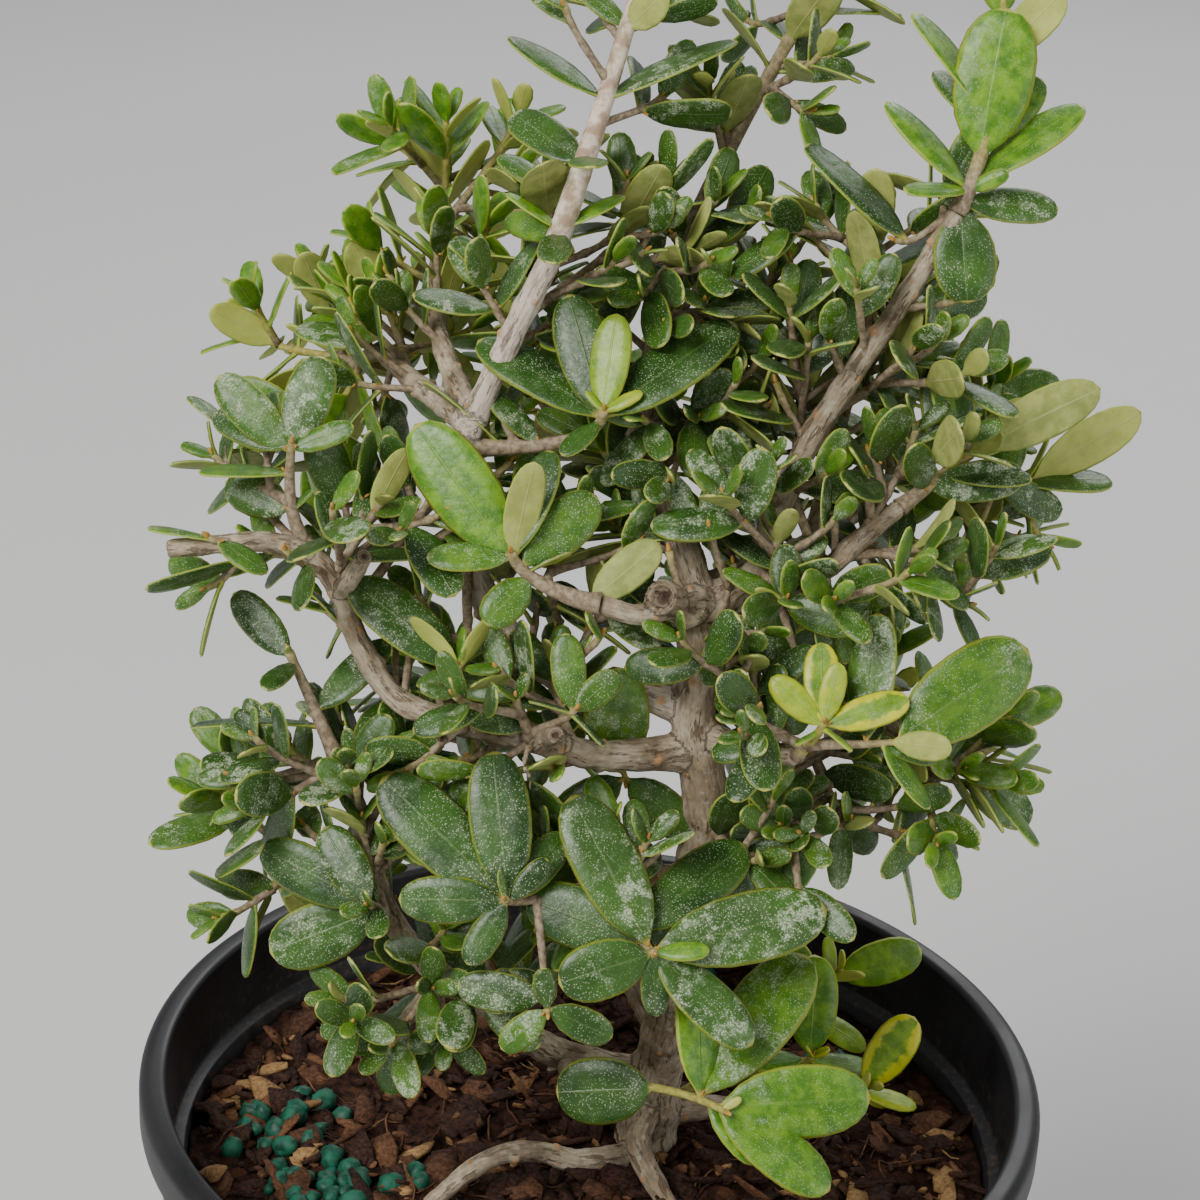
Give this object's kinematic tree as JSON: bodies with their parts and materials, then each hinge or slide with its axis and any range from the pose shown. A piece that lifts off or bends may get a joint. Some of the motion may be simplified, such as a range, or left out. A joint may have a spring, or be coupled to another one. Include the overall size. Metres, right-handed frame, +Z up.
{
  "type": "olive bonsai",
  "caption": "Young olive bonsai with a slender forked trunk, pruned stubs and crowded sprays of small opposite leaves, in bark compost in a round black nursery pot with a rolled lip.",
  "frame": {"origin": "the middle of the pot's underside, on the plane that the pot stands on", "axes": "+Z up, +X to the right and -Y towards the viewer, as the picture shows the tree"},
  "size_m": [0.1726, 0.17, 0.3692],
  "materials": {
    "pot_plastic": "satin black moulded plastic, finely scuffed",
    "compost": "rough dark brown bark chips and fibre with a few teal-green granules",
    "bark": "light grey-tan smooth young bark with small orange-brown lenticels",
    "leaf": "leathery dark green leaf, pale speckled, with a thin yellow-green margin and a grey-green underside"
  },
  "bodies": {
    "root": {"pot": "pot_plastic", "compost": "compost", "trunk": "bark", "spray_base_right": "leaf", "spray_crown_front": "leaf", "spray_crown_left": "leaf", "spray_crown_low": "leaf", "spray_crown_right": "leaf", "spray_crown_top": "leaf", "spray_front_base": "leaf", "spray_front_base_left": "leaf", "spray_front_base_mid": "leaf", "spray_front_high": "leaf", "spray_front_lowest": "leaf", "spray_front_mid": "leaf", "spray_leader_left": "leaf", "spray_leader_right": "leaf", "spray_leader_top": "leaf", "spray_left_end": "leaf", "spray_left_low_front": "leaf", "spray_left_low_in": "leaf", "spray_left_low_mid": "leaf", "spray_left_low_rear": "leaf", "spray_left_low_tip": "leaf", "spray_left_mid": "leaf", "spray_left_tip": "leaf", "spray_left_up": "leaf", "spray_low_front_back": "leaf", "spray_low_front_mid": "leaf", "spray_low_left_front": "leaf", "spray_low_rear": "leaf", "spray_low_rear_left": "leaf", "spray_low_right": "leaf", "spray_low_right_front": "leaf", "spray_low_right_in": "leaf", "spray_mid_left": "leaf", "spray_mid_right_front": "leaf", "spray_mid_right_high": "leaf", "spray_rear": "leaf", "spray_rear_high": "leaf", "spray_rear_high_low": "leaf", "spray_rear_left": "leaf", "spray_rear_left_up": "leaf", "spray_rear_right": "leaf", "spray_rear_right_high": "leaf", "spray_right_cup": "leaf", "spray_right_high_left": "leaf", "spray_right_inner": "leaf", "spray_right_inner_low": "leaf", "spray_right_low": "leaf", "spray_right_low_up": "leaf", "spray_right_mid": "leaf", "spray_right_mid_low": "leaf", "spray_right_mid_up": "leaf", "spray_right_top": "leaf"}
  },
  "joints": []
}
